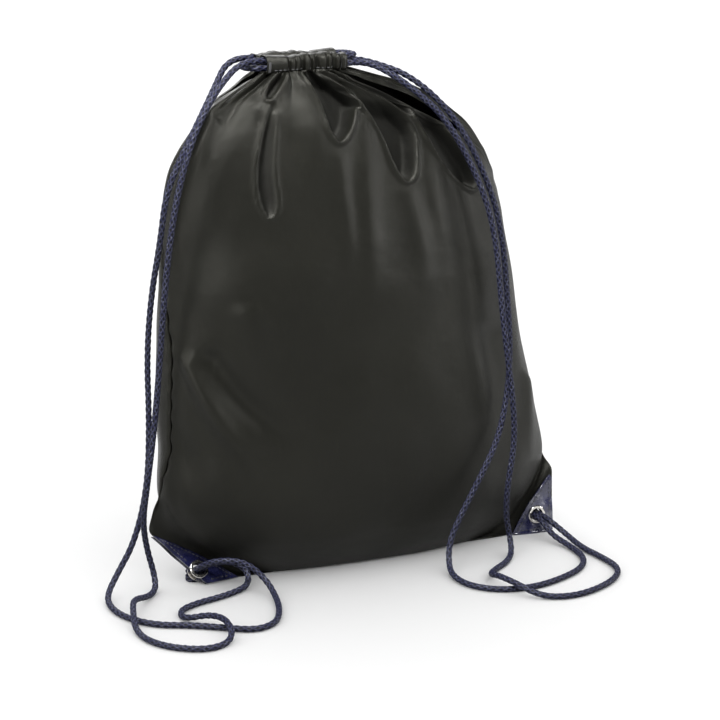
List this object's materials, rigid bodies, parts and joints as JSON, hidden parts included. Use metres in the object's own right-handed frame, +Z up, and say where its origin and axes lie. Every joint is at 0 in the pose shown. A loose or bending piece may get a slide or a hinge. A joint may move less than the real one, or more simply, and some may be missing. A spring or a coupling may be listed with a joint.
{
  "type": "drawstring backpack",
  "caption": "Gathered cloth bag with a cord loop at each side that runs from the hem to an eyelet in a reinforced bottom corner.",
  "frame": {"origin": "centre of the bag's box on the surface it stands on, measured without the cords", "axes": "+Z up through the mouth, -Y out of the front panel, +X to the right seen from the front"},
  "size_m": [0.4019, 0.227, 0.4125],
  "materials": {
    "bag_cloth": "satin woven polyester",
    "sewing_thread": "twisted polyester thread",
    "corner_leatherette": "glossy grained leatherette",
    "eyelet_metal": "polished nickel",
    "braided_cord": "round braid"
  },
  "bodies": {
    "bag": {"front_panel": "bag_cloth", "back_panel": "bag_cloth", "left_front_patch_stitching": "sewing_thread", "left_back_patch_stitching": "sewing_thread", "right_front_patch_stitching": "sewing_thread", "right_back_patch_stitching": "sewing_thread", "left_front_corner_patch": "corner_leatherette", "left_back_corner_patch": "corner_leatherette", "right_front_corner_patch": "corner_leatherette", "right_back_corner_patch": "corner_leatherette", "left_eyelet": "eyelet_metal", "left_eyelet_washer": "eyelet_metal", "right_eyelet": "eyelet_metal", "right_eyelet_washer": "eyelet_metal", "left_cord_knot": "braided_cord", "right_cord_knot": "braided_cord"},
    "front_lip": {"front_hem_tunnel": "bag_cloth", "front_hem_stitching": "sewing_thread", "front_hem_bartacks": "sewing_thread"},
    "back_lip": {"back_hem_tunnel": "bag_cloth", "back_hem_stitching": "sewing_thread", "back_hem_bartacks": "sewing_thread"},
    "left_cord_loop": {"left_cord": "braided_cord"},
    "right_cord_loop": {"right_cord": "braided_cord"}
  },
  "joints": [
    {"name": "front_lip_tip", "type": "hinge", "parent": "bag", "child": "front_lip", "pos_m": [-0.05, -0.017, 0.3985], "axis": [1, 0, 0], "range_deg": [0, 25]},
    {"name": "back_lip_tip", "type": "hinge", "parent": "bag", "child": "back_lip", "pos_m": [-0.05, 0.017, 0.3985], "axis": [-1, 0, 0], "range_deg": [0, 25]},
    {"name": "left_cord_slack", "type": "slide", "parent": "bag", "child": "left_cord_loop", "axis": [1, 0, 0], "range_m": [0, 0.02], "deforming": ["left_cord"]},
    {"name": "right_cord_slack", "type": "slide", "parent": "bag", "child": "right_cord_loop", "axis": [-1, 0, 0], "range_m": [0, 0.02], "deforming": ["right_cord"]}
  ],
  "couplings": [
    {"joint": "back_lip_tip", "follows": "front_lip_tip", "ratio": 1}
  ]
}
